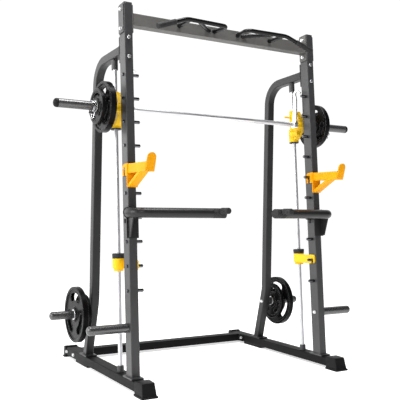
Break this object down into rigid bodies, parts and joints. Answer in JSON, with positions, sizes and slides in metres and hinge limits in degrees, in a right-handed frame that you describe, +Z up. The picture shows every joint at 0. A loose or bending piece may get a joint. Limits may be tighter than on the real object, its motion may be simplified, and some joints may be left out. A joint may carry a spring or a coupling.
{
  "type": "smith machine",
  "caption": "Leaning smith machine with a guided bar on carriages, safety hooks and stops, J-hooks, dip handles, multi-grip pull-up beam and plate storage pegs.",
  "frame": {"origin": "on the floor under the middle of the machine", "axes": "+X to the right seen from the front, +Y to the back, +Z up"},
  "size_m": [2.1, 1.28, 2.138],
  "materials": {
    "frame_paint": "fine satin powder coat",
    "handle_paint": "gloss powder coat",
    "yellow_paint": "satin powder coat",
    "chrome_steel": "polished chrome plate",
    "zinc_steel": "bright zinc plate",
    "black_steel": "satin black sleeve finish",
    "plate_iron": "satin black enamel over cast iron",
    "bush_bronze": "machined",
    "bush_steel": "ground",
    "black_rubber": "moulded, matte",
    "black_plastic": "moulded, slightly textured"
  },
  "bodies": {
    "frame": {"base_rail_left": "frame_paint", "base_rail_right": "frame_paint", "front_boot_left": "black_plastic", "front_boot_right": "black_plastic", "rear_foot_left": "black_plastic", "rear_foot_right": "black_plastic", "rear_crossbar": "frame_paint", "front_upright_left": "frame_paint", "front_upright_right": "frame_paint", "upright_caps": "black_plastic", "hook_pins_left": "chrome_steel", "hook_pins_right": "chrome_steel", "rear_upright_left": "frame_paint", "rear_upright_right": "frame_paint", "pull_up_beam": "frame_paint", "beam_outer_plates": "frame_paint", "pull_up_handle_left": "handle_paint", "pull_up_handle_right": "handle_paint", "pull_up_grips": "black_rubber", "guide_rod_left": "chrome_steel", "guide_rod_right": "chrome_steel", "rod_sockets": "frame_paint", "front_peg_left": "black_steel", "front_peg_right": "black_steel", "rear_peg_left": "black_steel", "rear_peg_right": "black_steel", "frame_bolts": "zinc_steel", "frame_nuts": "zinc_steel"},
    "carriages": {"carriage_left": "yellow_paint", "carriage_right": "yellow_paint", "carriage_seals": "black_rubber", "linear_bushes": "bush_steel", "bar_bushes": "bush_bronze"},
    "smith_bar": {"smith_bar": "chrome_steel", "bar_sleeve_left": "black_steel", "bar_sleeve_right": "black_steel", "sleeve_end_caps": "black_plastic", "safety_hook_left": "zinc_steel", "safety_hook_right": "zinc_steel", "hook_set_screws": "zinc_steel"},
    "bar_plate_large_left": {"bar_plate_large_left": "plate_iron"},
    "bar_plate_small_left": {"bar_plate_small_left": "plate_iron"},
    "spring_collar_left": {"spring_collar_left": "zinc_steel"},
    "stored_plate_small_left": {"stored_plate_small_left": "plate_iron"},
    "stored_plate_large_left": {"stored_plate_large_left": "plate_iron"},
    "j_hook_left": {"j_hook_left": "yellow_paint"},
    "safety_stop_left": {"safety_stop_left": "yellow_paint", "stop_bumper_left": "black_rubber"},
    "dip_handle_left": {"dip_handle_left": "frame_paint", "dip_grip_left": "black_rubber"},
    "bar_plate_large_right": {"bar_plate_large_right": "plate_iron"},
    "bar_plate_small_right": {"bar_plate_small_right": "plate_iron"},
    "spring_collar_right": {"spring_collar_right": "zinc_steel"},
    "stored_plate_small_right": {"stored_plate_small_right": "plate_iron"},
    "stored_plate_large_right": {"stored_plate_large_right": "plate_iron"},
    "j_hook_right": {"j_hook_right": "yellow_paint"},
    "safety_stop_right": {"safety_stop_right": "yellow_paint", "stop_bumper_right": "black_rubber"},
    "dip_handle_right": {"dip_handle_right": "frame_paint", "dip_grip_right": "black_rubber"}
  },
  "joints": [
    {"name": "bar_travel", "type": "slide", "parent": "frame", "child": "carriages", "axis": [0, 0.075, 0.9972], "range_m": [-0.6665, 0.12]},
    {"name": "bar_twist", "type": "hinge", "parent": "carriages", "child": "smith_bar", "pos_m": [0, -0.18337, 1.54661], "axis": [-1, 0, 0], "range_deg": [-16, 40]},
    {"name": "bar_plate_large_left_off", "type": "slide", "parent": "smith_bar", "child": "bar_plate_large_left", "axis": [-1, 0, 0], "range_m": [0, 0.32]},
    {"name": "bar_plate_small_left_off", "type": "slide", "parent": "bar_plate_large_left", "child": "bar_plate_small_left", "axis": [-1, 0, 0], "range_m": [0, 0.28]},
    {"name": "spring_collar_left_off", "type": "slide", "parent": "bar_plate_small_left", "child": "spring_collar_left", "axis": [-1, 0, 0], "range_m": [0, 0.25]},
    {"name": "stored_plate_small_left_off", "type": "slide", "parent": "frame", "child": "stored_plate_small_left", "axis": [-1, 0, 0], "range_m": [0, 0.24]},
    {"name": "stored_plate_large_left_off", "type": "slide", "parent": "stored_plate_small_left", "child": "stored_plate_large_left", "axis": [-1, 0, 0], "range_m": [0, 0.2]},
    {"name": "j_hook_left_lift", "type": "slide", "parent": "frame", "child": "j_hook_left", "axis": [0, 0.075, 0.9972], "range_m": [0, 0.055]},
    {"name": "safety_stop_left_lift", "type": "slide", "parent": "frame", "child": "safety_stop_left", "axis": [0, 0.075, 0.9972], "range_m": [0, 0.045]},
    {"name": "dip_handle_left_lift", "type": "slide", "parent": "frame", "child": "dip_handle_left", "axis": [0, 0.075, 0.9972], "range_m": [0, 0.05]},
    {"name": "bar_plate_large_right_off", "type": "slide", "parent": "smith_bar", "child": "bar_plate_large_right", "axis": [1, 0, 0], "range_m": [0, 0.32]},
    {"name": "bar_plate_small_right_off", "type": "slide", "parent": "bar_plate_large_right", "child": "bar_plate_small_right", "axis": [1, 0, 0], "range_m": [0, 0.28]},
    {"name": "spring_collar_right_off", "type": "slide", "parent": "bar_plate_small_right", "child": "spring_collar_right", "axis": [1, 0, 0], "range_m": [0, 0.25]},
    {"name": "stored_plate_small_right_off", "type": "slide", "parent": "frame", "child": "stored_plate_small_right", "axis": [1, 0, 0], "range_m": [0, 0.24]},
    {"name": "stored_plate_large_right_off", "type": "slide", "parent": "stored_plate_small_right", "child": "stored_plate_large_right", "axis": [1, 0, 0], "range_m": [0, 0.2]},
    {"name": "j_hook_right_lift", "type": "slide", "parent": "frame", "child": "j_hook_right", "axis": [0, 0.075, 0.9972], "range_m": [0, 0.055]},
    {"name": "safety_stop_right_lift", "type": "slide", "parent": "frame", "child": "safety_stop_right", "axis": [0, 0.075, 0.9972], "range_m": [0, 0.045]},
    {"name": "dip_handle_right_lift", "type": "slide", "parent": "frame", "child": "dip_handle_right", "axis": [0, 0.075, 0.9972], "range_m": [0, 0.05]}
  ]
}
